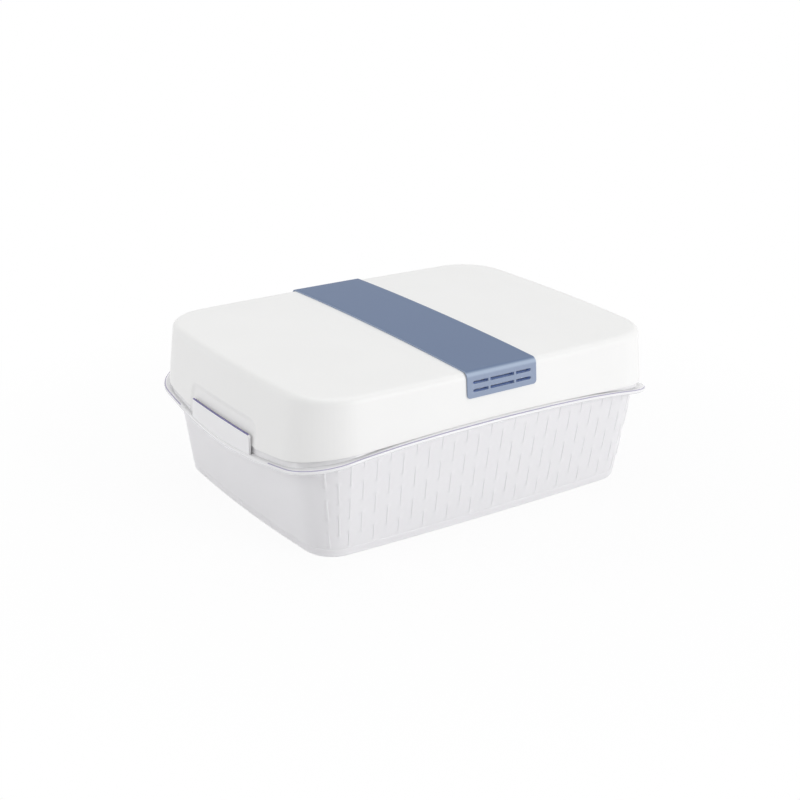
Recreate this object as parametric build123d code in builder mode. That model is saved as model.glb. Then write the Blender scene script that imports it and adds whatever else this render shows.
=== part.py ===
from build123d import *

import math
import os

# A food storage box: a clear tray, a deep white lid that lifts off it, and a blue-grey
# vent strip that lies across the lid and folds over its front and back edges.
# Millimetres. Origin at the middle of the foot, X along the length, Y from front to back.

# Overall sizes of the closed box.
box_length = 314.0
box_depth = 239.0
box_height = 120.0

# How far the middle of a side stands out from the line between its corners.
end_bow = 6.0
side_bow = 3.3
flange_side_bow = 5.8

# Tray: its walls lean out as they rise from the foot.
tray_foot_length = 274.8
tray_foot_depth = 202.1
tray_foot_corner = 22.0
tray_lean = 0.148
tray_wall = 1.8
tray_floor = 2.0
foot_lift = 1.5
foot_ring_width = 6.0
foot_band_height = 6.5
foot_band_inset = 0.6
foot_edge_round = 3.2

# Flange: a ledge round the tray whose height runs in a wave, high along the long
# sides, lower at the corners and lowest at the middle of the short sides.
flange_corner = 34.4
flange_thickness = 3.2
flange_high = 82.9
flange_shoulder = 78.5
flange_corner_height = 70.3
flange_flank = 66.0
flange_low = 60.3

# Lid: its walls lean in as they rise. Its length, depth and corner are those at the
# lowest point under the flange. The edge of its skirt runs in a flatter wave.
lid_skirt_length = 312.3
lid_skirt_depth = 236.3
lid_skirt_corner = 42.4
lid_lean = 0.096
lid_wall = 2.0
lid_edge_round = 4.8
seat_clearance = 0.3
skirt_shoulder = 79.9
skirt_corner_height = 73.6
skirt_flank = 70.5
skirt_low = 66.8

# Where along the box the waves change slope, measured from its middle.
wave_shoulder_x = 106.0
wave_corner_x = 150.0
wave_flank_y = 71.0
wave_corner_y = 97.0
wave_rise = 0.9

# Locating rim: a thin wall that rises from the flange, just inside the lid.
rim_overlap = 4.5
rim_wall = 1.8
rim_clearance = 0.6

# Grip pockets in the short walls of the lid, and the clear tabs that stand in them.
pocket_width = 90.0
grip_gap = 9.5
pocket_depth = 5.2
pocket_corner = 6.0
pocket_gap = 1.0
tab_width = 82.0
tab_top = 76.5
tab_thickness = 1.6
tab_corner = 1.5

# Vent strip, with its slots and the plugs that hold it in the lid's vents.
strip_width = 59.2
strip_thickness = 1.0
flap_drop = 20.1
flap_corner = 2.6
slot_height = 2.0
slot_row_length = 49.4
slot_middle_length = 20.2
slot_rib_width = 1.8
slot_drop = 9.4
slot_pitch = 5.7
plug_margin = 2.1
plug_corner = 1.2
plug_clearance = 0.3
plug_reach = 1.0

# Staggered upright ribs on the tray's long walls.
rib_width = 1.1
rib_proud = 0.45
rib_length = 17.5
rib_lowest_middle = 12.6
rib_pitch_z = 24.9
rib_pitch_x = 10.15
rib_columns = 26
rib_rows = 4
rib_margin = 3.0

# How far the shapes that cut or trim others reach past the ends of the box.
cutter_margin = 10.0

# Heights and sizes that follow from the ones above.
tray_high = flange_high + cutter_margin
lid_low = flange_low - flange_thickness
lid_top = box_height - strip_thickness
cutter_reach = box_length / 2 + cutter_margin
skirt_high = flange_high + seat_clearance
pocket_top = tab_top + grip_gap
flap_bottom = box_height - flap_drop
slot_middle_height = box_height - slot_drop - slot_pitch / 2
plug_height = slot_pitch + slot_height + 2 * plug_margin
plug_length = slot_row_length + 2 * plug_margin


def bowed_rectangle(half_length, half_depth, bow_end, bow_side, corner):
    """A rounded rectangle whose four sides swell outwards."""
    x = half_length - bow_end
    y = half_depth - bow_side
    with BuildSketch() as outline:
        with BuildLine():
            ThreePointArc((x, -y), (half_length, 0), (x, y))
            ThreePointArc((x, y), (0, half_depth), (-x, y))
            ThreePointArc((-x, y), (-half_length, 0), (-x, -y))
            ThreePointArc((-x, -y), (0, -half_depth), (x, -y))
        make_face()
        fillet(outline.vertices(), corner)
    return outline.sketch


def leaning_body(height, half_length, half_depth, corner, lean):
    """A solid that stands on its widest outline and shrinks evenly with height."""
    with BuildPart() as body:
        with BuildSketch():
            add(bowed_rectangle(half_length, half_depth, end_bow, side_bow, corner))
        extrude(amount=height, taper=math.degrees(math.atan(lean)))
    return body.part


def tray_form(low, high, inset=0.0):
    """The tray's outer form between two heights, drawn in by inset."""
    spread = tray_lean * high - inset
    upturned = leaning_body(
        high - low,
        tray_foot_length / 2 + spread,
        tray_foot_depth / 2 + spread,
        tray_foot_corner + spread,
        tray_lean,
    )
    with BuildPart() as form:
        with Locations((0, 0, high)):
            add(upturned, rotation=(180, 0, 0))
    return form.part


def lid_form(inset=0.0, high=lid_top):
    """The lid's outer form up to a height, drawn in by inset."""
    with BuildPart() as form:
        with Locations((0, 0, lid_low)):
            add(
                leaning_body(
                    high - lid_low,
                    lid_skirt_length / 2 - inset,
                    lid_skirt_depth / 2 - inset,
                    lid_skirt_corner - inset,
                    lid_lean,
                )
            )
    return form.part


def rounded_lid_form(inset=0.0, high=lid_top):
    """The lid's outer form, drawn in by inset, with its rounded top edge."""
    with BuildPart() as body:
        add(lid_form(inset, high))
        fillet(body.faces().sort_by(Axis.Z)[-1].edges(), lid_edge_round - inset)
    return body.part


def below_wave(high, shoulder, corner_height, flank, low, lift):
    """Everything under a wave that runs round the box, raised by lift."""
    end = cutter_reach
    top = corner_height + lift
    rise = top + wave_rise * (end - wave_corner_y)
    with BuildPart() as under:
        with BuildSketch(Plane.XZ):
            with BuildLine():
                crest = ThreePointArc(
                    (-wave_shoulder_x, shoulder + lift),
                    (0, high + lift),
                    (wave_shoulder_x, shoulder + lift),
                )
                fall = TangentArc(crest @ 1, (wave_corner_x, top), tangent=crest % 1)
                mirror(fall, about=Plane.YZ)
                Polyline(
                    (wave_corner_x, top),
                    (end, top),
                    (end, -box_height),
                    (-end, -box_height),
                    (-end, top),
                    (-wave_corner_x, top),
                )
            make_face()
        extrude(amount=end, both=True)
        with BuildSketch(Plane.YZ):
            with BuildLine():
                ThreePointArc(
                    (-wave_flank_y, flank + lift), (0, low + lift), (wave_flank_y, flank + lift)
                )
                Polyline(
                    (wave_flank_y, flank + lift),
                    (wave_corner_y, top),
                    (end, rise),
                    (end, -box_height),
                    (-end, -box_height),
                    (-end, rise),
                    (-wave_corner_y, top),
                    (-wave_flank_y, flank + lift),
                )
            make_face()
        extrude(amount=end, both=True, mode=Mode.INTERSECT)
    return under.part


def below_flange(lift=0.0):
    """Everything under the flange's top face, raised by lift."""
    return below_wave(
        flange_high, flange_shoulder, flange_corner_height, flange_flank, flange_low, lift
    )


def below_skirt(lift=0.0):
    """Everything under the edge of the lid's skirt, raised by lift."""
    return below_wave(
        skirt_high, skirt_shoulder, skirt_corner_height, skirt_flank, skirt_low, lift
    )


def end_block(width, top, corner):
    """A block through both short walls, up to a height, with rounded upper corners."""
    with BuildPart() as block:
        with BuildSketch(Plane.YZ):
            with Locations((0, top / 2)):
                Rectangle(width, top)
        extrude(amount=cutter_reach, both=True)
        fillet(block.edges().filter_by(Axis.X).group_by(Axis.Z)[-1], corner)
    return block.part


def side_block(length, height, middle_height, corner):
    """A block through both long walls, centred at a height, with rounded corners."""
    with BuildPart() as block:
        with BuildSketch(Plane.XZ):
            with Locations((0, middle_height)):
                RectangleRounded(length, height, corner)
        extrude(amount=cutter_reach, both=True)
    return block.part


def only_outside(inset):
    """Everything outside the lid's outer form drawn in by inset."""
    with BuildPart() as outside:
        Box(2 * cutter_reach, 2 * cutter_reach, 2 * box_height)
        add(lid_form(inset, box_height), mode=Mode.SUBTRACT)
    return outside.part


# Room that the tray's wall and rim leave for the pocket in each short wall of the lid.
with BuildPart() as pocket_room:
    add(end_block(pocket_width + 2 * (lid_wall + pocket_gap), tray_high, pocket_corner))
    add(below_flange(), mode=Mode.SUBTRACT)

# Flange: the band between its wavy top face and the same wave one thickness lower,
# open inside as far as both the tray's wall and the rim.
with BuildPart() as flange:
    with BuildSketch():
        add(bowed_rectangle(box_length / 2, box_depth / 2, end_bow, flange_side_bow, flange_corner))
    extrude(amount=tray_high)
    add(below_flange(), mode=Mode.INTERSECT)
    add(below_flange(-flange_thickness), mode=Mode.SUBTRACT)
    add(
        tray_form(foot_band_height, tray_high, tray_wall)
        & lid_form(lid_wall + rim_clearance + rim_wall, tray_high),
        mode=Mode.SUBTRACT,
    )

# Rim: it leans in with the lid's wall, and stops short of the grip pockets.
with BuildPart() as rim:
    add(lid_form(lid_wall + rim_clearance, tray_high))
    add(lid_form(lid_wall + rim_clearance + rim_wall, tray_high), mode=Mode.SUBTRACT)
    add(below_skirt(rim_overlap), mode=Mode.INTERSECT)
    add(below_flange(-flange_thickness / 2), mode=Mode.SUBTRACT)
    add(pocket_room.part, mode=Mode.SUBTRACT)

# Tabs: two clear lips that rise from the flange, flush with the lid's short walls.
with BuildPart() as tabs:
    add(lid_form(0, tray_high))
    add(lid_form(tab_thickness, tray_high), mode=Mode.SUBTRACT)
    add(end_block(tab_width, tab_top, tab_corner), mode=Mode.INTERSECT)
    add(below_flange(-flange_thickness / 2), mode=Mode.SUBTRACT)

# Ribs: staggered columns of short upright bars that follow the long walls.
with BuildPart() as rib_bars:
    for shift, lift in ((-rib_pitch_x / 2, 0.0), (rib_pitch_x / 2, rib_pitch_z / 2)):
        with BuildSketch(Plane.XZ):
            with Locations((shift, rib_lowest_middle + lift)):
                with GridLocations(
                    2 * rib_pitch_x,
                    rib_pitch_z,
                    rib_columns // 2,
                    rib_rows,
                    align=(Align.CENTER, Align.MIN),
                ):
                    Rectangle(rib_width, rib_length)
        extrude(amount=box_depth, both=True)

with BuildPart() as ribs:
    add(tray_form(foot_band_height + rib_margin, tray_high, -rib_proud))
    add(tray_form(foot_band_height, tray_high, tray_wall / 2), mode=Mode.SUBTRACT)
    add(rib_bars.part, mode=Mode.INTERSECT)
    add(below_flange(-flange_thickness / 2), mode=Mode.INTERSECT)

# Tray: foot and leaning walls, hollowed, then flange, rim, tabs and ribs.
with BuildPart() as tray:
    add(tray_form(0, foot_band_height, foot_band_inset))
    fillet(tray.faces().sort_by(Axis.Z)[0].edges(), foot_edge_round)
    add(tray_form(foot_band_height, tray_high))
    add(below_flange(), mode=Mode.INTERSECT)
    add(tray_form(foot_lift + tray_floor, tray_high, tray_wall), mode=Mode.SUBTRACT)
    add(tray_form(-foot_lift, foot_lift, foot_ring_width), mode=Mode.SUBTRACT)
    add(flange.part)
    add(rim.part)
    add(tabs.part)
    add(ribs.part)
tray.part.label = "tray"

# Pocket walls: the lid's skin dips inwards round each grip.
with BuildPart() as pocket_shell:
    add(end_block(pocket_width + 2 * lid_wall, pocket_top + lid_wall, pocket_corner + lid_wall))
    add(only_outside(pocket_depth + lid_wall), mode=Mode.INTERSECT)
    add(below_flange(pocket_gap), mode=Mode.SUBTRACT)

with BuildPart() as pocket_hollow:
    add(end_block(pocket_width, pocket_top, pocket_corner))
    add(only_outside(pocket_depth), mode=Mode.INTERSECT)

# Lid: a deep shell with a wavy skirt, two grip pockets and a vent in each long wall.
with BuildPart() as lid:
    add(rounded_lid_form())
    add(below_skirt(), mode=Mode.SUBTRACT)
    add(rounded_lid_form(lid_wall, lid_top - lid_wall), mode=Mode.SUBTRACT)
    add(pocket_shell.part & lid_form())
    add(pocket_hollow.part, mode=Mode.SUBTRACT)
    add(
        side_block(
            plug_length + 2 * plug_clearance,
            plug_height + 2 * plug_clearance,
            slot_middle_height,
            plug_corner + plug_clearance,
        ),
        mode=Mode.SUBTRACT,
    )
lid.part.label = "lid"

# Slots: two rows, each cut by two thin ribs into a short, a long and a short slot.
with BuildPart() as slots:
    with BuildSketch(Plane.XZ):
        with Locations((0, slot_middle_height)):
            with GridLocations(0, slot_pitch, 1, 2):
                SlotOverall(slot_row_length, slot_height)
            with GridLocations(slot_middle_length + slot_rib_width, 0, 2, 1):
                Rectangle(slot_rib_width, 2 * slot_pitch, mode=Mode.SUBTRACT)
    extrude(amount=cutter_reach, both=True)

# Strip: a thin band that follows the lid's top and folds down over both long walls.
with BuildPart() as vent_strip:
    add(rounded_lid_form(-strip_thickness, box_height))
    with BuildSketch(Plane.XZ) as strip_face:
        with Locations((0, (box_height + flap_bottom) / 2)):
            Rectangle(strip_width, box_height - flap_bottom)
        fillet(strip_face.vertices().group_by(Axis.Z)[0], flap_corner)
    extrude(amount=cutter_reach, both=True, mode=Mode.INTERSECT)
    add(rounded_lid_form(), mode=Mode.SUBTRACT)
    add(
        side_block(plug_length, plug_height, slot_middle_height, plug_corner)
        & (lid_form() - lid_form(lid_wall + plug_reach, box_height))
    )
    add(slots.part, mode=Mode.SUBTRACT)
vent_strip.part.label = "vent_strip"

os.makedirs("parts", exist_ok=True)
export_step(tray.part, "parts/tray.step")
export_step(lid.part, "parts/lid.step")
export_step(vent_strip.part, "parts/vent_strip.step")
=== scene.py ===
"""A food storage box: a clear ribbed tray, a deep white lid and a blue-grey vent strip."""

import logging
import math
from dataclasses import dataclass
from enum import Enum

import bmesh
import bpy
from mathutils import Matrix, Vector

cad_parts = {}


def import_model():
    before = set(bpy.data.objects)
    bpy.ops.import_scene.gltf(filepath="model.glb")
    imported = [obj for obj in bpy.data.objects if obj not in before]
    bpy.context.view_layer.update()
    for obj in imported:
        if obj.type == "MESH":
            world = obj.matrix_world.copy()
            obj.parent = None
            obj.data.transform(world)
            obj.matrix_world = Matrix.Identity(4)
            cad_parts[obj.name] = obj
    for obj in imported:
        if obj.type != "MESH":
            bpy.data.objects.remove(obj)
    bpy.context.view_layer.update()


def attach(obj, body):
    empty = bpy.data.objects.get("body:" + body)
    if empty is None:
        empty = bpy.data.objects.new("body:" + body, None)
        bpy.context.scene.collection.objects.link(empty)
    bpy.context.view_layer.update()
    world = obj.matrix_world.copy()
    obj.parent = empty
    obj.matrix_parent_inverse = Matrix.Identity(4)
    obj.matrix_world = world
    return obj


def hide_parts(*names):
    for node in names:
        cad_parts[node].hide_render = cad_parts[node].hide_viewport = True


log = logging.getLogger("storage_box")
MM = 0.001
WELD = 1e-7
Point2 = tuple[float, float]
Point3 = tuple[float, float, float]
Colour = tuple[float, float, float]


class Zone(Enum):
    """The four zones of the clear tray's surface: two moulded finishes, and two dark tints that are painted
    shade along the flange's top edge and the tab's top.
    """

    WALL = 0
    POLISHED = 1
    EDGE = 2
    PAINTED_LIP_SHADE = 3


Row = tuple[float, float, Zone]


# Shader maths

class Value:
    """A number socket that can be used in Python expressions."""

    def __init__(self, board: "Board", socket: bpy.types.NodeSocket) -> None:
        """Wraps an output socket of a board's node tree."""
        self.board = board
        self.socket = socket

    def _with(self, operation: str, first: "Value | float", second: "Value | float") -> "Value":
        """Adds one Math node.

        Args:
            operation: The Math node's operation.
            first: Its first value.
            second: Its second value.

        Returns:
            The node's result.
        """
        node = self.board.node("ShaderNodeMath", {"operation": operation}, {0: first, 1: second})
        return Value(self.board, node.outputs[0])

    def __add__(self, other: "Value | float") -> "Value":
        """Sum."""
        return self._with("ADD", self, other)

    def __radd__(self, other: float) -> "Value":
        """Reflected sum."""
        return self._with("ADD", other, self)

    def __sub__(self, other: "Value | float") -> "Value":
        """Difference."""
        return self._with("SUBTRACT", self, other)

    def __rsub__(self, other: float) -> "Value":
        """Reflected difference."""
        return self._with("SUBTRACT", other, self)

    def __mul__(self, other: "Value | float") -> "Value":
        """Product."""
        return self._with("MULTIPLY", self, other)

    def __rmul__(self, other: float) -> "Value":
        """Reflected product."""
        return self._with("MULTIPLY", other, self)


class Board:
    """The node tree of one material or of the world."""

    def __init__(self, tree: bpy.types.NodeTree) -> None:
        """Clears the tree, so that every node in it is made here."""
        self.tree = tree
        tree.nodes.clear()

    def node(self, kind: str, settings: dict | None = None, inputs: dict | None = None) -> bpy.types.Node:
        """Adds a node: type, then settings, then the values or links of its sockets.

        Args:
            kind: The node's type name.
            settings: Attributes to set first. "stops" sets a colour ramp's stops.
            inputs: Socket name or number to a Value, an output socket or a constant.

        Returns:
            The node.
        """
        made = self.tree.nodes.new(kind)
        for name, value in (settings or {}).items():
            if name == "stops":
                ramp = made.color_ramp
                for stop, (place, colour) in enumerate(value):
                    element = ramp.elements[stop] if stop < 2 else ramp.elements.new(place)
                    element.position = place
                    element.color = (*colour, 1.0)
            else:
                setattr(made, name, value)
        for name, value in (inputs or {}).items():
            socket = made.inputs[name]
            if isinstance(value, Value):
                self.tree.links.new(value.socket, socket)
            elif isinstance(value, bpy.types.NodeSocket):
                self.tree.links.new(value, socket)
            else:
                socket.default_value = value
        return made

    def place(self) -> bpy.types.NodeSocket:
        """The point of the surface in the piece's own metres."""
        return self.node("ShaderNodeTexCoord").outputs["Object"]

    def grain(self, scale: float, detail: float = 2.0, stretch: Point3 = (1.0, 1.0, 1.0)) -> Value:
        """A soft noise.

        Args:
            scale: Spots per metre.
            detail: How many finer layers it has.
            stretch: How much the noise is squeezed along each axis.

        Returns:
            The noise, from 0 to 1 about one half.
        """
        mapped = self.node(
            "ShaderNodeVectorMath", {"operation": "MULTIPLY"}, {0: self.place(), 1: stretch}
        )
        noise = self.node(
            "ShaderNodeTexNoise",
            {"noise_dimensions": "3D"},
            {"Vector": mapped.outputs[0], "Scale": scale, "Detail": detail, "Roughness": 0.5},
        )
        return Value(self, noise.outputs[0])

    def mix(self, share: Value, first: Colour, second: Colour) -> bpy.types.NodeSocket:
        """A colour between two others.

        Args:
            share: 0 for the first colour, 1 for the second.
            first: Linear colour.
            second: Linear colour.

        Returns:
            The mixed colour's socket.
        """
        node = self.node(
            "ShaderNodeMix", {"data_type": "RGBA"}, {0: share, 6: (*first, 1.0), 7: (*second, 1.0)}
        )
        return node.outputs[2]

    def bump(self, height: Value, depth: float, strength: float) -> bpy.types.NodeSocket:
        """A Bump node for Normal.

        Args:
            height: The relief, 0 to 1.
            depth: What 1 is, in metres.
            strength: How much of it shows.

        Returns:
            The normal's socket.
        """
        node = self.node(
            "ShaderNodeBump", None, {"Height": height, "Distance": depth, "Strength": strength}
        )
        return node.outputs[0]

    def surface(self, inputs: dict) -> None:
        """Ends the board in a Principled shader with the sockets given."""
        shader = self.node("ShaderNodeBsdfPrincipled", None, inputs)
        self.node("ShaderNodeOutputMaterial", None, {"Surface": shader.outputs[0]})


# Finishes

@dataclass(frozen=True)
class SatinFinish:
    """Opaque moulded plastic with a fine satin texture, its colour changed with painted light and shade on
    folds and upright faces.
    """

    name: str
    level: Colour
    # The fold and upright colours are painted light and shade: how the lamps fall on folds and upright faces,
    # painted into the colour.
    fold: Colour
    upright: Colour
    roughness: float
    specular: float
    roughness_spread: float = 0.08
    texture_scale: float = 1400.0
    texture_depth: float = 0.00004
    cloud_scale: float = 18.0
    cloud_depth: float = 0.035

    def material(self) -> bpy.types.Material:
        """Makes the material."""
        made = bpy.data.materials.new(self.name)
        made.use_nodes = True
        board = Board(made.node_tree)
        clouds = board.grain(self.cloud_scale, 3.0)
        texture = board.grain(self.texture_scale, 2.0)
        facing = board.node(
            "ShaderNodeSeparateXYZ", None, {0: board.node("ShaderNodeNewGeometry").outputs["Normal"]}
        )
        rise = board.node("ShaderNodeMath", {"operation": "ABSOLUTE"}, {0: facing.outputs["Z"]})
        # Painted light and shade: a ramp over how steeply the face stands gives upright faces, folds and
        # level faces their own colours.
        painted_light_tone = board.node(
            "ShaderNodeValToRGB",
            {"stops": (
                (0.14, self.upright), (0.42, self.fold), (0.66, self.fold), (0.93, self.level),
            )},
            {0: Value(board, rise.outputs[0])},
        )
        shade = 1.0 - self.cloud_depth * clouds
        colour = board.node(
            "ShaderNodeVectorMath", {"operation": "SCALE"}, {0: painted_light_tone.outputs[0], "Scale": shade}
        )
        board.surface({
            "Base Color": colour.outputs[0],
            "Roughness": self.roughness + self.roughness_spread * (texture - 0.5),
            "IOR": 1.46,
            "Specular IOR Level": self.specular,
            "Normal": board.bump(texture, self.texture_depth, 0.35),
        })
        return made


@dataclass(frozen=True)
class ClearFinish:
    """Clear moulded plastic with a faint tint."""

    name: str
    pale: Colour
    deep: Colour
    roughness: float
    transmission: float
    roughness_spread: float = 0.05
    ripple_depth: float = 0.0001
    ripple_scale: float = 60.0

    def material(self) -> bpy.types.Material:
        """Makes the material."""
        made = bpy.data.materials.new(self.name)
        made.use_nodes = True
        board = Board(made.node_tree)
        ripple = board.grain(self.ripple_scale, 2.0, (1.0, 1.0, 0.45))
        haze = board.grain(self.ripple_scale * 0.4, 3.0)
        board.surface({
            "Base Color": board.mix(haze, self.deep, self.pale),
            "Roughness": self.roughness + self.roughness_spread * (haze - 0.5),
            "IOR": 1.49,
            "Transmission Weight": self.transmission,
            "Normal": board.bump(ripple, self.ripple_depth, 0.3),
        })
        return made


# Outlines and waves

HALF_LENGTH = 157.0
HALF_DEPTH = 119.5
SHORT_WALL_FROM = 120.0
LONG_WALL_FROM = 90.0


@dataclass(frozen=True)
class Outline:
    """A rounded rectangle whose four sides swell outwards, in millimetres."""

    half_length: float
    half_depth: float
    bow_end: float
    bow_side: float
    corner: float

    def __post_init__(self) -> None:
        """Works out the arcs of one quarter."""
        x = self.half_length - self.bow_end
        y = self.half_depth - self.bow_side
        end = (y * y + self.bow_end ** 2) / (2 * self.bow_end)
        side = (x * x + self.bow_side ** 2) / (2 * self.bow_side)
        a = self.half_length - end
        b = self.half_depth - side
        r1 = end - self.corner
        r2 = side - self.corner
        gap = math.hypot(a, b)
        along = (r1 * r1 - r2 * r2 + gap * gap) / (2 * gap)
        off = math.sqrt(max(r1 * r1 - along * along, 0.0))
        ux, uy = -a / gap, b / gap
        best = max(
            ((a + ux * along - uy * off * s, uy * along + ux * off * s) for s in (-1, 1)),
            key=lambda p: p[0] + p[1],
        )
        object.__setattr__(self, "centre", best)
        object.__setattr__(self, "end_arc", (a, end))
        object.__setattr__(self, "side_arc", (b, side))
        object.__setattr__(self, "low", math.atan2(best[1], best[0] - a))
        object.__setattr__(self, "high", math.atan2(best[1] - b, best[0]))

    def distance(self, x: float, y: float) -> float:
        """How far a point near the outline lies outside it."""
        x, y = abs(x), abs(y)
        cx, cy = self.centre
        angle = math.atan2(y - cy, x - cx)
        if angle < self.low or y < 0.5 * cy:
            a, radius = self.end_arc
            return math.hypot(x - a, y) - radius
        if angle > self.high or x < 0.5 * cx:
            b, radius = self.side_arc
            return math.hypot(x, y - b) - radius
        return math.hypot(x - cx, y - cy) - self.corner

    def quarter(self) -> tuple[float, float, float]:
        """Arc lengths of half a side, a corner and half an end."""
        side = self.side_arc[1] * (math.pi / 2 - self.high)
        corner = self.corner * (self.high - self.low)
        return side, corner, self.end_arc[1] * self.low

    def at(self, place: float) -> tuple[Point2, Point2]:
        """A point and its normal, at a distance from the middle of a side towards an end.

        Args:
            place: Arc length along the first quarter.

        Returns:
            The point and the unit normal, both in the first quadrant.
        """
        side, corner, _ = self.quarter()
        if place <= side:
            b, radius = self.side_arc
            angle = math.pi / 2 - place / radius
            n = (math.cos(angle), math.sin(angle))
            return (n[0] * radius, b + n[1] * radius), n
        if place <= side + corner:
            angle = self.high - (place - side) / self.corner
            n = (math.cos(angle), math.sin(angle))
            cx, cy = self.centre
            return (cx + n[0] * self.corner, cy + n[1] * self.corner), n
        a, radius = self.end_arc
        angle = self.low - (place - side - corner) / radius
        n = (math.cos(angle), math.sin(angle))
        return (a + n[0] * radius, n[1] * radius), n

    def reach(self, point: Point2, normal: Point2, offset: float) -> float:
        """How far along a normal the outline, grown by an offset, is met.

        Args:
            point: Where the ray starts.
            normal: Its direction.
            offset: How much the outline is grown.

        Returns:
            The distance along the ray.
        """
        far = 0.0
        for _ in range(5):
            far += offset - self.distance(point[0] + normal[0] * far, point[1] + normal[1] * far)
        return far


@dataclass(frozen=True)
class Wave:
    """A height that runs smoothly round the box, given at points of one quarter."""

    knots: tuple[Point3, ...]

    def height(self, x: float, y: float) -> float:
        """The height at a point of the outline, by a smooth curve through the knots."""
        angle = math.atan2(abs(y) / HALF_DEPTH, abs(x) / HALF_LENGTH)
        marks = [(math.atan2(k[1] / HALF_DEPTH, k[0] / HALF_LENGTH), k[2]) for k in self.knots]
        marks.sort()
        if angle <= marks[0][0]:
            return marks[0][1]
        if angle >= marks[-1][0]:
            return marks[-1][1]
        i = max(n for n in range(len(marks) - 1) if marks[n][0] <= angle)

        def slope(n: int) -> float:
            """The curve's slope at a knot, level at both ends of the quarter."""
            if n in (0, len(marks) - 1):
                return 0.0
            before = (marks[n][1] - marks[n - 1][1]) / (marks[n][0] - marks[n - 1][0])
            after = (marks[n + 1][1] - marks[n][1]) / (marks[n + 1][0] - marks[n][0])
            return 0.0 if before * after <= 0 else 2 * before * after / (before + after)

        (a0, h0), (a1, h1) = marks[i], marks[i + 1]
        w = a1 - a0
        t = (angle - a0) / w
        return (
            h0 * (2 * t ** 3 - 3 * t * t + 1)
            + slope(i) * w * (t ** 3 - 2 * t * t + t)
            + h1 * (3 * t * t - 2 * t ** 3)
            + slope(i + 1) * w * (t ** 3 - t * t)
        )


FLANGE_WAVE = Wave((
    (0.0, 119.5, 82.9), (41.0, 119.1, 82.3), (77.0, 118.0, 80.7), (106.0, 117.0, 78.3),
    (128.0, 113.5, 75.3), (145.0, 104.0, 71.6), (152.0, 88.0, 68.0), (154.5, 71.0, 65.6),
    (156.3, 40.0, 62.2), (157.0, 0.0, 60.3),
))
SKIRT_WAVE = Wave((
    (0.0, 115.5, 82.97), (41.0, 115.2, 82.38), (77.0, 114.5, 80.85), (98.0, 114.0, 79.75),
    (113.0, 113.0, 79.2), (129.0, 109.5, 77.8), (141.0, 103.0, 75.9), (149.0, 90.0, 73.2),
    (151.0, 75.0, 71.2), (152.5, 60.0, 69.7), (153.6, 42.0, 68.0), (155.0, 0.0, 66.9),
))
TRAY_OUTLINE = Outline(151.149, 114.799, 6.0, 3.3, 35.749)
TRAY_HIGH = 92.9
TRAY_LEAN = 0.148
LID_OUTLINE = Outline(156.15, 118.15, 6.0, 3.3, 42.4)
LID_LOW = 57.1
LID_LEAN = 0.096
LID_DOME = 1.7
DOME_POWER = 2.2
FLANGE_OUTLINE = Outline(HALF_LENGTH, HALF_DEPTH, 6.0, 5.8, 34.4)


def tray_face(height: float) -> float:
    """How far outside its outline the tray's leaning wall lies at a height."""
    return TRAY_LEAN * (height - TRAY_HIGH)


def lid_face(height: float, inset: float = 0.0) -> float:
    """How far outside its outline the lid's leaning wall lies at a height, drawn in."""
    return -LID_LEAN * (height - LID_LOW) - inset


@dataclass(frozen=True)
class Station:
    """One place round the box where its cross-section is drawn."""

    point: Point2
    normal: Point2
    mark: float

    def away(self, far: float, height: float) -> Vector:
        """A point a distance out along the station's normal, in metres."""
        return Vector((
            (self.point[0] + self.normal[0] * far) * MM,
            (self.point[1] + self.normal[1] * far) * MM,
            height * MM,
        ))


def stations_round(outline: Outline, places: list[float]) -> list[Station]:
    """Turns the places of one quarter into stations all the way round.

    Args:
        outline: The outline they lie on.
        places: Arc lengths from the middle of a long side to the middle of an end.

    Returns:
        Stations, anticlockwise from the middle of the front side.
    """
    ring: list[Station] = []
    for turn, (sx, sy) in enumerate(((1, -1), (1, 1), (-1, 1), (-1, -1))):
        run = places if turn % 2 == 0 else places[::-1]
        for place in run[:-1]:
            (x, y), (nx, ny) = outline.at(place)
            ring.append(Station((sx * x, sy * y), (sx * nx, sy * ny), place))
    return ring


def domed(x: float, y: float, inset: float) -> float:
    """How far the lid's top has fallen from its crown, a distance in from its edge."""
    return LID_DOME * (1.0 - inset / math.hypot(x, y)) ** DOME_POWER


def soft_step(value: float, low: float, high: float) -> float:
    """Rises smoothly from 0 at low to 1 at high."""
    t = min(1.0, max(0.0, (value - low) / (high - low)))
    return t * t * (3 - 2 * t)


def thinned(marks: list[float], least: float) -> list[float]:
    """Sorted marks, without those closer to the last than the least step."""
    kept: list[float] = []
    for mark in sorted(marks):
        if not kept or mark - kept[-1] > least:
            kept.append(mark)
    return kept


def filled(marks: list[float], step: float) -> list[float]:
    """Marks with even steps put in wherever two are further apart than step."""
    out = [marks[0]]
    for mark in marks[1:]:
        count = max(1, math.ceil((mark - out[-1]) / step))
        start = out[-1]
        out.extend(start + (mark - start) * (n + 1) / count for n in range(count))
    return out


def make_piece(name: str, mesh: bpy.types.Mesh, finishes: list[bpy.types.Material]) -> bpy.types.Object:
    """Links a mesh into the scene with its materials.

    Args:
        name: The piece's name.
        mesh: Its mesh, in the shared frame.
        finishes: Its materials, in slot order.

    Returns:
        The object.
    """
    for finish in finishes:
        mesh.materials.append(finish)
    piece = bpy.data.objects.new(name, mesh)
    bpy.context.scene.collection.objects.link(piece)
    return piece


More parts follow.
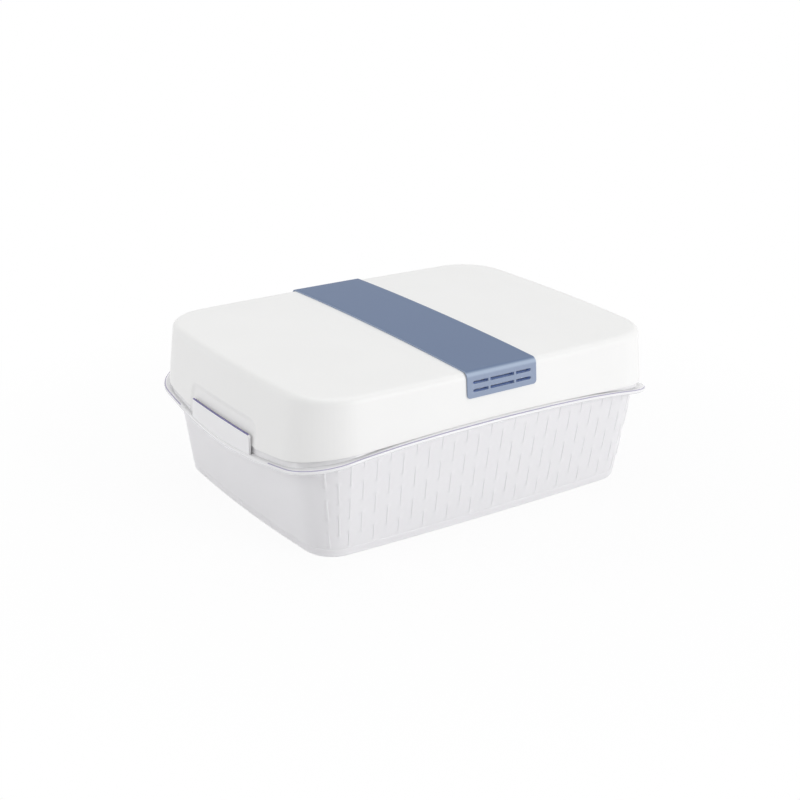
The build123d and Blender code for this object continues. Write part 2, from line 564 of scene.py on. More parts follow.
def finish_mesh(grid: bmesh.types.BMesh, name: str, crease: float = 40.0) -> bpy.types.Mesh:
    """Closes a bmesh into a smooth-shaded mesh with sharp edges where it turns.

    Args:
        grid: The mesh being built. It is freed.
        name: The mesh's name.
        crease: The angle in degrees from which an edge is sharp.

    Returns:
        The mesh.
    """
    bmesh.ops.remove_doubles(grid, verts=grid.verts, dist=WELD)
    bmesh.ops.recalc_face_normals(grid, faces=grid.faces)
    for face in grid.faces:
        face.smooth = True
    for edge in grid.edges:
        if len(edge.link_faces) == 2 and edge.calc_face_angle(0.0) > math.radians(crease):
            edge.smooth = False
    mesh = bpy.data.meshes.new(name)
    grid.to_mesh(mesh)
    grid.free()
    return mesh


def fill_inwards(
    grid: bmesh.types.BMesh, rim: list[bmesh.types.BMVert], shares: tuple[float, ...], crown: float
) -> None:
    """Fills a ring of vertices with ever smaller rings that rise to a crown.

    Args:
        grid: The mesh being built.
        rim: The ring to fill.
        shares: The smaller rings' sizes, as shares of the first.
        crown: The crown's height in metres, which a level ring has too.
    """
    ring = rim
    for share in shares:
        inward = []
        for vert in rim:
            drop = (crown - vert.co.z) * share ** DOME_POWER
            inward.append(grid.verts.new((vert.co.x * share, vert.co.y * share, crown - drop)))
        for n, vert in enumerate(ring):
            m = (n + 1) % len(ring)
            grid.faces.new((vert, ring[m], inward[m], inward[n]))
        ring = inward
    grid.faces.new(ring)


# Pieces

@dataclass
class Tray:
    """The clear tray: foot, ribbed leaning walls, wavy flange, locating rim and two tabs."""

    wall: float = 1.8
    floor_low: float = 1.5
    floor_high: float = 3.5
    ring_width: float = 6.0
    band_high: float = 6.5
    band_inset: float = 0.15
    band_groove: float = 0.38
    foot_round: float = 2.2
    flange_thickness: float = 3.2
    flange_under_round: float = 1.5
    flange_over_round: float = 2.8
    # On the ends, the flange's painted dark line stops within this distance of the middle.
    painted_line_stop: float = 62.0
    rim_overlap: float = 4.5
    rim_gap: float = 2.6
    rim_wall: float = 1.8
    rim_full: float = 48.5
    tab_half: float = 41.0
    tab_top: float = 76.5
    tab_thickness: float = 1.6
    tab_stand: float = 0.85
    tab_corner: float = 1.5
    rib_pitch: float = 10.15
    rib_count: int = 14
    rib_width: float = 0.9
    rib_slope: float = 0.5
    rib_proud: float = 0.45
    rib_length: float = 17.5
    rib_rise: float = 24.9
    rib_middle: float = 12.6
    rib_rows: int = 4
    rib_margin: float = 3.0
    rib_fan: float = 0.0004
    rib_level: float = 45.0
    rib_end: float = 1.2
    inner_round: float = 5.0
    inner_low: float = 9.5
    floor_shares: tuple[float, ...] = (0.75, 0.5, 0.25, 0.06)

    def rib_places(self) -> list[float]:
        """Where the columns of ribs lie along one quarter, as arc lengths of the outline."""
        return [self.rib_pitch * (column + 0.5) for column in range(self.rib_count)]

    def slid(self, station: Station, height: float) -> Station:
        """A station moved along the wall, as the ribs fan outwards with height.

        Args:
            station: A station of the wall's outline.
            height: The height of the row.

        Returns:
            The station where the column that passes through it lies at that height.
        """
        total = sum(TRAY_OUTLINE.quarter())
        fade = min(1.0, (total - station.mark) / (total - self.rib_pitch * self.rib_count))
        place = station.mark * (1.0 + self.rib_fan * (height - self.rib_level) * fade)
        (x, y), (nx, ny) = TRAY_OUTLINE.at(place)
        sx, sy = math.copysign(1.0, station.point[0]), math.copysign(1.0, station.point[1])
        return Station((sx * x, sy * y), (sx * nx, sy * ny), station.mark)

    def places(self) -> list[float]:
        """Every station of one quarter: ribs, corner steps, and the ends of rim and tab."""
        side, corner, end = TRAY_OUTLINE.quarter()
        total = side + corner + end
        marks = [0.0, side, side + corner, total]
        for place in self.rib_places():
            half = self.rib_width / 2
            for shift in (-half - self.rib_slope, -half, half, half + self.rib_slope):
                if 0.0 <= place + shift <= total:
                    marks.append(place + shift)
        turn = self.tab_corner
        rounded = (self.tab_half - turn * (1 - math.cos(a * math.pi / 8)) for a in range(5))
        marks += [total - y for y in (self.rim_full, self.tab_half, *rounded)]
        return filled(thinned(marks, 0.02), 3.4)

    def over_round(self, station: Station) -> float:
        """The flange's upper rounding, tighter at the foot of a tab."""
        if abs(station.point[0]) < SHORT_WALL_FROM:
            return self.flange_over_round
        spread = self.flange_over_round - self.tab_stand
        beyond = abs(station.point[1]) - self.tab_half
        return self.tab_stand + spread * soft_step(beyond, 1.0, 9.0)

    def rib_depth(self, station: Station, height: float) -> float:
        """How far the surface stands out at a point of the wall."""
        if height < self.band_high + self.rib_margin:
            return 0.0
        best = 0.0
        for column, centre in enumerate(self.rib_places()):
            far = abs(station.mark - centre)
            across = 1.0 - soft_step(far, self.rib_width / 2, self.rib_width / 2 + self.rib_slope)
            if across <= 0.0:
                continue
            lifted = (column % 2 == 1) == (station.point[0] > 0.0)
            for row in range(self.rib_rows):
                middle = self.rib_middle + self.rib_rise * (row + (0.5 if lifted else 0.0))
                away = abs(height - middle)
                along = 1.0 - soft_step(away, self.rib_length / 2 - self.rib_end, self.rib_length / 2)
                best = max(best, across * along)
        return best * self.rib_proud

    def wall_heights(self) -> list[float]:
        """Heights of the outer wall's rows: both ends of every rib, and steps between."""
        marks = [self.band_high + 0.9, 84.0]
        marks += [self.band_high + self.rib_margin, self.band_high + self.rib_margin + 1.0]
        for half in (0.0, self.rib_rise / 2):
            for row in range(self.rib_rows):
                low = self.rib_middle - self.rib_length / 2 + half + row * self.rib_rise
                high = low + self.rib_length
                for height in (low, low + self.rib_end, high - self.rib_end, high):
                    if self.band_high + self.rib_margin < height < 83.0:
                        marks.append(height)
        return filled(thinned(marks, 0.15), 7.0)

    def profile(self, station: Station) -> list[Row]:
        """The outside of the cross-section, from under the floor round to the flange's top.

        Args:
            station: Where the section is taken. Its point lies on the wall at TRAY_HIGH.

        Returns:
            Rows of distance out along the normal, height, and the zone above each row.
        """
        x, y = station.point
        top = FLANGE_WAVE.height(x, y)
        under = top - self.flange_thickness
        low = self.floor_low
        out: list[Row] = []
        add = out.append
        foot = tray_face(0.0) - self.band_inset
        ring = tray_face(0.0) - self.ring_width
        for far, z in ((-1.2, low), (-0.5, low), (0.0, low - 0.4), (0.1, 0.3), (0.4, 0.0)):
            add((ring + far, z, Zone.WALL))
        r = self.foot_round
        for step in range(7):
            a = step * math.pi / 12
            z = r * (1 - math.cos(a))
            add((foot - r + r * math.sin(a) + TRAY_LEAN * z, z, Zone.WALL))
        for above, inset in ((-0.5, self.band_inset), (0.0, self.band_groove), (0.45, 0.05)):
            z = self.band_high + above
            add((tray_face(z) - inset, z, Zone.WALL))
        heights = self.wall_heights()
        for number, z in enumerate(heights):
            capped = min(z, under - 1.0 - 0.012 * (len(heights) - number))
            add((tray_face(capped) + self.rib_depth(station, capped), capped, Zone.WALL))
        add((tray_face(under) + 0.25, under - 0.35, Zone.POLISHED))
        add((tray_face(under) + 0.95, under, Zone.POLISHED))
        edge = FLANGE_OUTLINE.reach(station.point, station.normal, 0.0)
        add((edge - self.flange_under_round - 0.6, under, Zone.POLISHED))
        for step in range(17):
            a = -math.pi / 2 + step * math.pi / 16
            r = self.flange_under_round if a < 0.0 else self.over_round(station)
            z = top - self.flange_thickness / 2 + (self.flange_thickness / 2) * math.sin(a)
            # Painted shade: two rows of the flange's upper rounding take a dark tint, except on the ends
            # beside the tabs.
            near_tab = abs(x) > SHORT_WALL_FROM and abs(y) < self.painted_line_stop
            painted_line = step in (11, 12) and not near_tab
            add((edge - r + r * math.cos(a), z, Zone.EDGE if painted_line else Zone.POLISHED))
        return out

    def top_profile(self, station: Station) -> tuple[list[Row], list[Row], list[Row]]:
        """The rest of the section: tab, rim and inner wall.

        Args:
            station: Where the section is taken.

        Returns:
            Rows of the tab, of the rim and of the inner wall.
        """
        x, y = station.point
        top = FLANGE_WAVE.height(x, y)
        skirt = SKIRT_WAVE.height(x, y)
        on_end = abs(x) > SHORT_WALL_FROM
        turn = self.tab_corner
        beyond = max(0.0, abs(y) - (self.tab_half - turn))
        # Painted shade: the tab's top takes a dark tint up to its corners.
        painted_lip_shade = Zone.PAINTED_LIP_SHADE if beyond <= 0.0 else Zone.POLISHED
        tab_top = self.tab_top - turn + math.sqrt(max(turn * turn - beyond * beyond, 0.0))
        tab: list[Row] = []
        thick = self.tab_thickness if on_end and abs(y) < self.tab_half + 0.01 else 0.3
        out = FLANGE_OUTLINE.reach(station.point, station.normal, 0.0) - self.over_round(station) - 0.02
        for z, inset, zone in (
            (top, 0.0, Zone.POLISHED), (top + 0.4, 0.0, Zone.POLISHED), (tab_top - 0.5, 0.0, painted_lip_shade),
            (tab_top - 0.12, 0.15, painted_lip_shade), (tab_top, 0.5, painted_lip_shade), (tab_top, thick - 0.5, painted_lip_shade),
            (tab_top - 0.12, thick - 0.15, Zone.POLISHED), (tab_top - 0.5, thick, Zone.POLISHED),
            (top + 0.2, thick, Zone.POLISHED), (top, thick + 0.1, Zone.POLISHED),
        ):
            tab.append((out - inset, z, zone))
        low_rim = on_end and abs(y) < self.rim_full
        crown = skirt + (-0.5 if low_rim else self.rim_overlap)
        rim: list[Row] = []
        g, w = self.rim_gap, self.rim_wall
        for z, inset in (
            (top, g - 0.3), (top + 0.4, g), (crown - 0.5, g), (crown - 0.12, g + 0.2), (crown, g + 0.6),
            (crown, g + w - 0.6), (crown - 0.12, g + w - 0.2), (crown - 0.5, g + w),
            (top + 0.3, g + w), (top, g + w + 0.25),
        ):
            met = LID_OUTLINE.reach(station.point, station.normal, lid_face(z, inset))
            rim.append((met, z, Zone.POLISHED))
        inner: list[Row] = []
        lean_in = tray_face(top) - self.wall
        inner.append((min(lean_in + 0.15, rim[-1][0] - 0.02), top - 0.02, Zone.POLISHED))
        start = top - 0.5
        for step in range(9):
            z = start - (start - self.inner_low) * step / 8
            inner.append((min(tray_face(z) - self.wall, inner[0][0]), z, Zone.WALL))
        r = self.inner_round
        base = tray_face(self.floor_high + r) - self.wall
        for step in range(7):
            a = step * math.pi / 12
            z = self.floor_high + r * (1 - math.sin(a))
            far = base - r * (1 - math.cos(a)) - TRAY_LEAN * (r - (z - self.floor_high))
            inner.append((far, z, Zone.WALL))
        inner.append((base - r - 2.0, self.floor_high, Zone.WALL))
        return tab, rim, inner

    def build(self, finishes: list[bpy.types.Material]) -> bpy.types.Object:
        """Builds the tray as one closed mesh.

        Args:
            finishes: Materials in the order of Zone.

        Returns:
            The tray.
        """
        ring = stations_round(TRAY_OUTLINE, self.places())
        grid = bmesh.new()
        columns = []
        for station in ring:
            outer = self.profile(station)
            tab, rim, inner = self.top_profile(station)
            sections = {}
            for key, rows in (("outer", outer), ("tab", tab), ("rim", rim), ("inner", inner)):
                sections[key] = []
                for far, height, zone in rows:
                    walled = key == "outer" and zone is Zone.WALL
                    at = self.slid(station, height) if walled else station
                    sections[key].append((grid.verts.new(at.away(far, height)), zone))
            columns.append((station, sections))

        def strip(one: list, two: list) -> None:
            """Adds the faces between the same rows of two stations."""
            for row in range(len(one) - 1):
                face = grid.faces.new((one[row][0], two[row][0], two[row + 1][0], one[row + 1][0]))
                face.material_index = one[row][1].value

        for (s0, a), (s1, b) in zip(columns, columns[1:] + columns[:1]):
            on_end = min(abs(s0.point[0]), abs(s1.point[0])) > SHORT_WALL_FROM
            far = max(abs(s0.point[1]), abs(s1.point[1]))
            has_tab = on_end and far <= self.tab_half + 0.01
            before, after = (
                s["outer"] + (s["tab"] if has_tab else [s["tab"][0], s["tab"][-1]]) + s["rim"] + s["inner"]
                for s in (a, b)
            )
            strip(before, after)
        for station, sections in columns:
            x, y = (abs(value) for value in station.point)
            if x > SHORT_WALL_FROM and abs(y - self.tab_half) < 0.06:
                face = grid.faces.new([v for v, _ in sections["tab"]])
                face.material_index = Zone.POLISHED.value
        for key, row in (("outer", 0), ("inner", -1)):
            rim = [sections[key][row][0] for _, sections in columns]
            fill_inwards(grid, rim, self.floor_shares, rim[0].co.z)
        return make_piece("clear_tray", finish_mesh(grid, "clear_tray"), finishes)


@dataclass
class Lid:
    """The deep white lid, with its rounded top edge, wavy skirt and two grip pockets."""

    top: float = 119.0
    wall: float = 2.0
    edge_round: float = 4.8
    edge_steps: int = 8
    inner_edge_steps: int = 5
    top_insets: tuple[float, ...] = (20.0, 9.0)
    top_shares: tuple[float, ...] = (0.84, 0.68, 0.52, 0.36, 0.2, 0.05)
    hem: tuple[Point2, ...] = ((0.3, 0.0), (0.09, 0.09), (0.0, 0.3), (0.0, 1.7), (0.09, 1.91), (0.3, 2.0))
    corner_steps: int = 28
    pocket_half: float = 45.0
    pocket_top: float = 86.0
    pocket_depth: float = 1.3
    pocket_corner: float = 7.0
    pocket_soft: float = 5.0
    vent_half: float = 27.1
    vent_low: float = 102.9
    vent_high: float = 112.6

    def places(self) -> list[float]:
        """Every station of one quarter: vent edges, corner steps and the pocket's side."""
        side, corner, end = LID_OUTLINE.quarter()
        total = side + corner + end
        marks = [0.0, self.vent_half, side, side + corner, total]
        marks += [total - self.pocket_half - 3.0 + 0.5 * n for n in range(13)]
        out = filled(thinned(marks, 0.02), 4.0)
        out += [side + corner * n / self.corner_steps for n in range(1, self.corner_steps)]
        return thinned(out, 0.05)

    def heights(self) -> list[float]:
        """Heights of the wall's rows, downwards, closest together round the pocket's top."""
        near_pocket = (self.pocket_top + 2.6 - 0.5 * n for n in range(17))
        return [self.vent_high, 110.0, self.vent_low, 96.0, 91.5, *near_pocket, 78.0, 76.0, 74.0, 72.0, 70.0]

    def pocket(self, x: float, y: float, z: float) -> float:
        """How much of the grip pocket's depth a point of the short walls has, 0 to 1."""
        if abs(x) < SHORT_WALL_FROM:
            return 0.0
        r = self.pocket_corner
        dx = abs(y) - (self.pocket_half - r)
        dz = z - (self.pocket_top - r)
        if dx <= 0 or dz <= 0:
            out = max(dx, dz) - r
        else:
            out = math.hypot(dx, dz) - r
        return 1.0 - soft_step(out, -self.pocket_soft / 2, self.pocket_soft / 2)

    def vent_rows(self) -> tuple[tuple[int, int], tuple[int, int]]:
        """Which rows of the section bound the vent.

        Returns:
            First and last row of the outer face's gap, and of the inner face's.
        """
        heights = self.heights()
        high, low = heights.index(self.vent_high), heights.index(self.vent_low)
        first = len(self.top_insets) + self.edge_steps + 1
        last = first + 2 * len(heights) + len(self.hem) - 1
        return (first + high, first + low), (last - low, last - high)

    def vented(self, one: Station, two: Station) -> bool:
        """True between two stations where the vent opens the wall."""
        x, y = ((a + b) / 2 for a, b in zip(one.point, two.point))
        return abs(x) < self.vent_half and abs(y) > LONG_WALL_FROM

    def edge(self, high: float, inset: float, steps: int) -> list[Point2]:
        """The rounded edge from a level top to the leaning wall.

        Args:
            high: The level top's height.
            inset: How far inside the outer face it runs.
            steps: How many steps it takes.

        Returns:
            Distances out and heights, downwards.
        """
        r = self.edge_round - inset
        angle = math.pi / 2 - math.atan(LID_LEAN)
        start = lid_face(high, inset) - r * math.tan(angle / 2)
        turns = (angle * step / steps for step in range(steps + 1))
        return [(start + r * math.sin(a), high - r + r * math.cos(a)) for a in turns]

    def section(self, station: Station) -> list[Vector]:
        """The shell's cross-section at a station.

        Args:
            station: Where it is taken.

        Returns:
            Its points, down the outside to the hem and up again inside.
        """
        x, y = station.point
        skirt = SKIRT_WAVE.height(x, y)
        heights = self.heights()
        levels = [max(z, skirt + 0.9 + 0.01 * (len(heights) - n)) for n, z in enumerate(heights)]

        def wall_point(z: float, inset: float) -> Vector:
            """A point of the wall, drawn in and dipped into the grip pocket."""
            return station.away(lid_face(z, inset) - self.pocket_depth * self.pocket(x, y, z), z)

        high = self.top - LID_DOME
        low = high - self.wall
        rows = [station.away(lid_face(high) - far, self.top - domed(x, y, far)) for far in self.top_insets]
        rows += [station.away(*point) for point in self.edge(high, 0.0, self.edge_steps)]
        rows += [wall_point(z, 0.0) for z in levels]
        rows += [wall_point(skirt + z, inset) for z, inset in self.hem]
        rows += [wall_point(z, self.wall) for z in reversed(levels)]
        rows += [station.away(*point) for point in reversed(self.edge(low, self.wall, self.inner_edge_steps))]
        rows.append(station.away(lid_face(low, self.wall) - 12.0, low))
        return rows

    def build(self, finish: bpy.types.Material) -> bpy.types.Object:
        """Builds the lid as one closed shell.

        Args:
            finish: Its material.

        Returns:
            The lid.
        """
        ring = stations_round(LID_OUTLINE, self.places())
        grid = bmesh.new()
        columns = [[grid.verts.new(point) for point in self.section(station)] for station in ring]
        outer, inner = self.vent_rows()
        open_after = [self.vented(one, two) for one, two in zip(ring, ring[1:] + ring[:1])]
        for a, b, vented in zip(columns, columns[1:] + columns[:1], open_after):
            for row in range(len(a) - 1):
                if vented and (outer[0] <= row < outer[1] or inner[0] <= row < inner[1]):
                    continue
                grid.faces.new((a[row], a[row + 1], b[row + 1], b[row]))
            if vented:
                for one, two in ((outer[0], inner[1]), (outer[1], inner[0])):
                    grid.faces.new((a[one], a[two], b[two], b[one]))
        for number, column in enumerate(columns):
            if open_after[number - 1] != open_after[number]:
                grid.faces.new(column[outer[0]:outer[1] + 1] + column[inner[0]:inner[1] + 1])
        fill_inwards(grid, [column[0] for column in columns], self.top_shares, self.top * MM)
        grid.faces.new([column[-1] for column in columns])
        return make_piece("white_lid", finish_mesh(grid, "white_lid"), [finish])


@dataclass
class Camera:
    """The camera where the photograph was taken from."""

    azimuth: float = -34.904
    elevation: float = 21.159
    distance: float = 1.08307
    target: Point3 = (-0.004375, 0.0, 0.056814)
    roll: float = 0.9352
    focal_pixels: float = 1451.168
    frame_pixels: float = 800.0
    sensor: float = 36.0

    def build(self) -> bpy.types.Object:
        """Makes the camera and makes it the scene's."""
        a, e, r = (math.radians(v) for v in (self.azimuth, self.elevation, self.roll))
        back = Vector((math.sin(a) * math.cos(e), -math.cos(a) * math.cos(e), math.sin(e)))
        right = (-back).cross(Vector((0, 0, 1))).normalized()
        up = right.cross(-back)
        across = right * math.cos(r) + up * math.sin(r)
        upward = -right * math.sin(r) + up * math.cos(r)
        data = bpy.data.cameras.new("photo_camera")
        data.sensor_width = self.sensor
        data.lens = self.focal_pixels / self.frame_pixels * self.sensor
        data.clip_start = 0.01
        camera = bpy.data.objects.new("photo_camera", data)
        turn = Matrix((across, upward, back)).transposed().to_4x4()
        camera.matrix_world = Matrix.Translation(Vector(self.target) + back * self.distance) @ turn
        bpy.context.scene.collection.objects.link(camera)
        bpy.context.scene.camera = camera
        return camera


def filled_curve(data: bpy.types.Curve, loops: list[list[Point2]]) -> bpy.types.Mesh:
    """Fills loops in the plane, with the inner ones as holes.

    Args:
        data: A flat curve with its thickness and bevel set. It is removed.
        loops: Closed loops in millimetres.

    Returns:
        The filled and thickened shape as a mesh.
    """
    for loop in loops:
        spline = data.splines.new("POLY")
        spline.points.add(len(loop) - 1)
        for point, (x, y) in zip(spline.points, loop):
            point.co = (x * MM, y * MM, 0.0, 1.0)
        spline.use_cyclic_u = True
    flat = bpy.data.objects.new(data.name, data)
    bpy.context.scene.collection.objects.link(flat)
    mesh = bpy.data.meshes.new_from_object(flat.evaluated_get(bpy.context.evaluated_depsgraph_get()))
    bpy.data.objects.remove(flat)
    bpy.data.curves.remove(data)
    return mesh


@dataclass
class VentStrip:
    """The blue-grey band across the lid, with a slotted flap and a slotted plug at each end."""

    half_width: float = 29.6
    thickness: float = 1.0
    top: float = 120.0
    flap_bottom: float = 99.9
    flap_corner: float = 2.6
    fold_round: float = 4.4
    edge_round: float = 0.3
    slot_rows: tuple[float, float] = (110.6, 104.9)
    slot_half_height: float = 1.0
    slot_half_length: float = 24.7
    slot_ribs: float = 11.0
    slot_rib_half: float = 0.9
    plug_half_length: float = 26.8
    plug_half_height: float = 4.6
    plug_corner: float = 1.2
    plug_depth: float = 4.2
    plug_overlap: float = 0.02
    fold_cuts: int = 12
    top_cuts: int = 10

    def fold(self) -> tuple[float, float, float]:
        """Where the outer face's fold starts, its angle and its length.

        Returns:
            Distance of the fold's start from the box's middle, angle, and arc length.
        """
        reach = LID_OUTLINE.half_depth + lid_face(self.top - self.thickness - LID_DOME)
        angle = math.pi / 2 - math.atan(LID_LEAN)
        lifted = reach + self.thickness - LID_LEAN * self.thickness
        pull = self.fold_round * math.tan(angle / 2)
        return lifted - pull, angle, self.fold_round * angle

    def bend(self, along: float, depth: float) -> tuple[float, float]:
        """A point of the strip's section.

        Args:
            along: Distance over the outer face from the box's middle.
            depth: How far under the outer face.

        Returns:
            Distance from the middle, and height.
        """
        start, angle, arc = self.fold()
        sign = -1.0 if along < 0 else 1.0
        run = abs(along)
        if run <= start:
            return sign * run, self.top - depth - LID_DOME * (run / start) ** DOME_POWER
        high = self.top - LID_DOME - self.fold_round
        r = self.fold_round - depth
        if run <= start + arc:
            a = (run - start) / self.fold_round
            return sign * (start + r * math.sin(a)), high + r * math.cos(a)
        rest = run - start - arc
        y = start + r * math.sin(angle) + rest * math.cos(angle)
        return sign * y, high + r * math.cos(angle) - rest * math.sin(angle)

    def along_at(self, height: float) -> float:
        """The distance over the outer face at which the flap has a height."""
        start, angle, arc = self.fold()
        z = self.top - LID_DOME - self.fold_round + self.fold_round * math.cos(angle)
        return start + arc + (z - height) / math.sin(angle)

    def outline_loop(self) -> list[Point2]:
        """The strip laid flat, as x and distance along."""
        end = self.along_at(self.flap_bottom)
        r = self.flap_corner
        loop: list[Point2] = []
        for sx, sy, first in ((1, -1, 0), (1, 1, 1), (-1, 1, 0), (-1, -1, 1)):
            arc = []
            for step in range(7):
                a = step * math.pi / 12
                arc.append((sx * (self.half_width - r + r * math.sin(a)), sy * (end - r + r * math.cos(a))))
            loop += arc if first == 0 else arc[::-1]
        return loop

    def slot_loops(self, side: int) -> list[list[Point2]]:
        """The six slots of one flap, laid flat."""
        loops = []
        h = self.slot_half_height
        inner = self.slot_ribs - self.slot_rib_half
        outer = self.slot_ribs + self.slot_rib_half
        straight = self.slot_half_length - h
        for row in self.slot_rows:
            middle = side * self.along_at(row)
            low, high = middle - h, middle + h
            loops.append([(-inner, low), (inner, low), (inner, high), (-inner, high)])
            for sx in (-1, 1):
                turns = (-math.pi / 2 + n * math.pi / 8 for n in range(9))
                cap = [(sx * (straight + h * math.cos(a)), middle + h * math.sin(a)) for a in turns]
                loops.append([(sx * outer, low), *cap, (sx * outer, high)])
        return loops

    def flat_sheet(self) -> bpy.types.Mesh:
        """The strip laid flat, with slots and softly rounded edges, as a filled curve."""
        data = bpy.data.curves.new("strip_flat", "CURVE")
        data.dimensions = "2D"
        data.fill_mode = "BOTH"
        r = self.edge_round
        data.extrude = (self.thickness / 2 - r) * MM
        data.bevel_depth = r * MM
        data.bevel_resolution = 2
        data.offset = -r * MM
        return filled_curve(data, [self.outline_loop(), *self.slot_loops(-1), *self.slot_loops(1)])

    def slot_block(self, side: int) -> bpy.types.Mesh:
        """A plug laid flat behind its flap: a rounded block with the slots through it."""
        data = bpy.data.curves.new("plug_flat", "CURVE")
        data.dimensions = "2D"
        data.fill_mode = "BOTH"
        data.extrude = self.plug_depth / 2 * MM
        middle = side * self.along_at(sum(self.slot_rows) / 2)
        r = self.plug_corner
        block: list[Point2] = []
        for turn, (sx, sy) in enumerate(((1, 1), (-1, 1), (-1, -1), (1, -1))):
            for step in range(5):
                a = turn * math.pi / 2 + step * math.pi / 8
                block.append((
                    sx * (self.plug_half_length - r) + r * math.cos(a),
                    middle + sy * (self.plug_half_height - r) + r * math.sin(a),
                ))
        return filled_curve(data, [block, *self.slot_loops(side)])

    def build(self, finishes: list[bpy.types.Material]) -> bpy.types.Object:
        """Builds the strip: the flat sheet bent over the lid, and a slotted plug at each end.

        Args:
            finishes: The band's material, and the plugs', whose paler blue is painted light.

        Returns:
            The strip.
        """
        grid = bmesh.new()
        sheets = [(self.flat_sheet(), self.thickness / 2, 0)]
        for side in (-1, 1):
            behind = self.thickness - self.plug_overlap + self.plug_depth / 2
            sheets.append((self.slot_block(side), behind, 1))
        for sheet, depth, finish in sheets:
            first, first_face = len(grid.verts), len(grid.faces)
            grid.from_mesh(sheet)
            bpy.data.meshes.remove(sheet)
            grid.verts.ensure_lookup_table()
            grid.faces.ensure_lookup_table()
            for vert in grid.verts[first:]:
                vert.co.z -= depth * MM
            for face in grid.faces[first_face:]:
                face.material_index = finish
        start, _, arc = self.fold()
        cuts = [start + arc * n / self.fold_cuts for n in range(self.fold_cuts + 1)]
        cuts += [start * n / self.top_cuts for n in range(1, self.top_cuts)]
        for cut in [*cuts, *(-c for c in cuts), 0.0]:
            bmesh.ops.bisect_plane(
                grid, geom=[*grid.verts, *grid.edges, *grid.faces], dist=1e-8,
                plane_co=(0.0, cut * MM, 0.0), plane_no=(0.0, 1.0, 0.0),
            )
        for vert in grid.verts:
            y, z = self.bend(vert.co.y / MM, -vert.co.z / MM)
            vert.co = Vector((vert.co.x, y * MM, z * MM))
        return make_piece("vent_strip_piece", finish_mesh(grid, "vent_strip_piece", 30.0), finishes)


@dataclass
class Studio:
    """The pale floor, the soft lamps and the white surroundings."""

    floor_colour: Colour = (0.86, 0.86, 0.87)
    world_level: float = 0.62
    whiteness: float = 0.92
    whiter_from: float = 0.19
    white_from: float = 0.42
    floor_size: float = 6.0
    white: tuple[float, ...] = (1.0, 1.0, 1.0, 1.0)

    def seen_white(self, board: Board) -> Value:
        """1 for rays from the camera, also through clear plastic or off a gloss, else 0."""
        rays = board.node("ShaderNodeLightPath")
        straight, through, gloss = (
            Value(board, rays.outputs["Is %s Ray" % kind]) for kind in ("Camera", "Transmission", "Glossy")
        )
        return Value(board, board.node("ShaderNodeClamp", None, {0: straight + through + gloss}).outputs[0])

    def floor(self) -> bpy.types.Object:
        """Makes the floor, white to the camera and behind clear plastic."""
        mesh = bpy.data.meshes.new("floor")
        grid = bmesh.new()
        bmesh.ops.create_grid(grid, x_segments=1, y_segments=1, size=self.floor_size)
        grid.to_mesh(mesh)
        grid.free()
        finish = bpy.data.materials.new("floor")
        finish.use_nodes = True
        board = Board(finish.node_tree)
        spread = board.node("ShaderNodeVectorMath", {"operation": "LENGTH"}, {0: board.place()})
        far = board.node("ShaderNodeMapRange", None, {
            0: spread.outputs[1], 1: self.whiter_from, 2: self.white_from, 3: self.whiteness, 4: 1.0,
        })
        paper = board.node("ShaderNodeBsdfDiffuse", None, {"Color": (*self.floor_colour, 1.0)})
        white = board.node("ShaderNodeEmission", None, {"Color": self.white, "Strength": 1.0})
        whiter = self.seen_white(board) * Value(board, far.outputs[0])
        share = board.node(
            "ShaderNodeMixShader", None, {0: whiter, 1: paper.outputs[0], 2: white.outputs[0]}
        )
        board.node("ShaderNodeOutputMaterial", None, {"Surface": share.outputs[0]})
        floor = make_piece("floor", mesh, [finish])
        return floor

    def world(self) -> None:
        """Sets the even white light from all round, and the white seen behind the box."""
        world = bpy.data.worlds.new("studio")
        bpy.context.scene.world = world
        world.use_nodes = True
        board = Board(world.node_tree)
        light, white = (
            board.node("ShaderNodeBackground", None, {"Color": self.white, "Strength": strength})
            for strength in (self.world_level, 1.0)
        )
        share = board.node(
            "ShaderNodeMixShader", None,
            {0: self.seen_white(board), 1: light.outputs[0], 2: white.outputs[0]},
        )
        board.node("ShaderNodeOutputWorld", None, {"Surface": share.outputs[0]})

    def lamp(self, name: str, place: Point3, size: float, power: float) -> bpy.types.Object:
        """Hangs a square soft lamp that faces the box.

        Args:
            name: The lamp's name.
            place: Where it hangs, in metres.
            size: The side of its square, in metres.
            power: Its power in watts.

        Returns:
            The lamp.
        """
        data = bpy.data.lights.new(name, "AREA")
        data.size = size
        data.energy = power
        lamp = bpy.data.objects.new(name, data)
        aim = Vector((0.0, 0.0, 0.06)) - Vector(place)
        lamp.rotation_mode = "QUATERNION"
        lamp.rotation_quaternion = aim.to_track_quat("-Z", "Y")
        lamp.location = place
        bpy.context.scene.collection.objects.link(lamp)
        return lamp

    def build(self) -> None:
        """Sets up the whole studio."""
        self.world()
        self.floor()
        self.lamp("front_right_lamp", (1.3, -2.7, 1.1), 1.6, 42.0)
        self.lamp("left_lamp", (-1.8, 0.9, 0.9), 1.0, 9.6)
        self.lamp("top_lamp", (0.1, 0.2, 2.0), 1.4, 7.0)
        view = bpy.context.scene.view_settings
        view.view_transform = "Standard"


# Painted shade: the white is a little darker on folds and upright faces.
WHITE = SatinFinish(
    "white_satin", level=(0.868, 0.868, 0.862), fold=(0.835, 0.835, 0.828),
    upright=(0.858, 0.857, 0.850), roughness=0.45, specular=0.4,
)
# Painted light: the blue is much paler on folds, a painted highlight, and paler on upright faces.
BLUE = SatinFinish(
    "blue_satin", level=(0.152, 0.204, 0.318), fold=(0.380, 0.455, 0.580),
    upright=(0.290, 0.346, 0.468), roughness=0.50, specular=0.15,
)
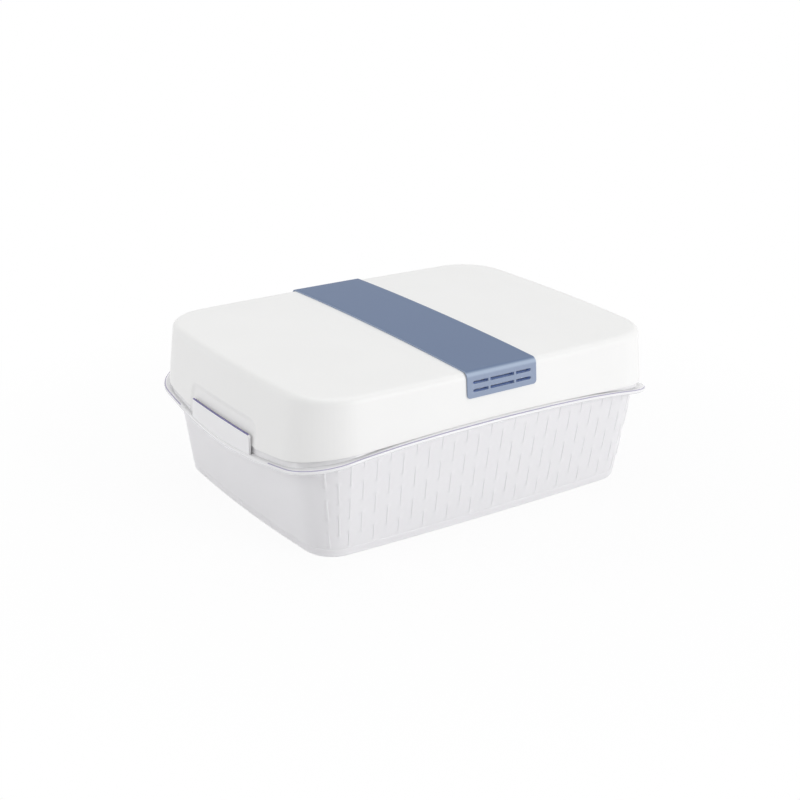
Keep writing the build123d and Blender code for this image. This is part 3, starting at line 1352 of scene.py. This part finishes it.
# Painted light: the plugs behind the slots take a far paler blue than the band, so that the shaded slots read
# lighter.
PLUG_PAINTED_LIGHT_COLOUR = (0.42, 0.54, 0.84)
BLUE_PLUG_PAINTED_LIGHT = SatinFinish("blue_plug_painted_light", PLUG_PAINTED_LIGHT_COLOUR, PLUG_PAINTED_LIGHT_COLOUR, PLUG_PAINTED_LIGHT_COLOUR, roughness=0.50, specular=0.15)
CLEAR_WALL = ClearFinish(
    "clear_wall", pale=(0.985, 0.978, 0.995), deep=(0.970, 0.964, 0.985), roughness=0.30,
    transmission=0.26, roughness_spread=0.08, ripple_depth=0.00015,
)
CLEAR_POLISHED = ClearFinish(
    "clear_polished", pale=(0.965, 0.963, 0.975), deep=(0.950, 0.947, 0.962), roughness=0.14,
    transmission=0.16,
)
# Painted shade: the two dark tints below stand in for the shade that refraction gives along the tab's top and
# the flange's top edge.
CLEAR_PAINTED_LIP_SHADE = ClearFinish(
    "clear_painted_lip_shade", pale=(0.17, 0.14, 0.38), deep=(0.13, 0.11, 0.32), roughness=0.18, transmission=0.20
)
CLEAR_PAINTED_EDGE_SHADE = ClearFinish(
    "clear_painted_edge_shade", pale=(0.52, 0.49, 0.64), deep=(0.46, 0.43, 0.60), roughness=0.18, transmission=0.20
)


def main() -> None:
    """Builds the studio and the three mouldings, and dresses each."""
    logging.basicConfig(level=logging.INFO)
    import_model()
    Camera().build()
    Studio().build()
    clear = [finish.material() for finish in (CLEAR_WALL, CLEAR_POLISHED, CLEAR_PAINTED_EDGE_SHADE, CLEAR_PAINTED_LIP_SHADE)]
    made = (
        (Tray().build(clear), "tray", "tray", "clear_plastic"),
        (Lid().build(WHITE.material()), "lid", "lid", "white_plastic"),
        (VentStrip().build([BLUE.material(), BLUE_PLUG_PAINTED_LIGHT.material()]), "lid", "vent_strip", "blue_plastic"),
    )
    for piece, body, node, slot in made:
        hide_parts(node)
        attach(piece, body)
        log.info("%s: %d faces, rides on %s", piece.name, len(piece.data.polygons), body)


if __name__ == "__main__":
    main()
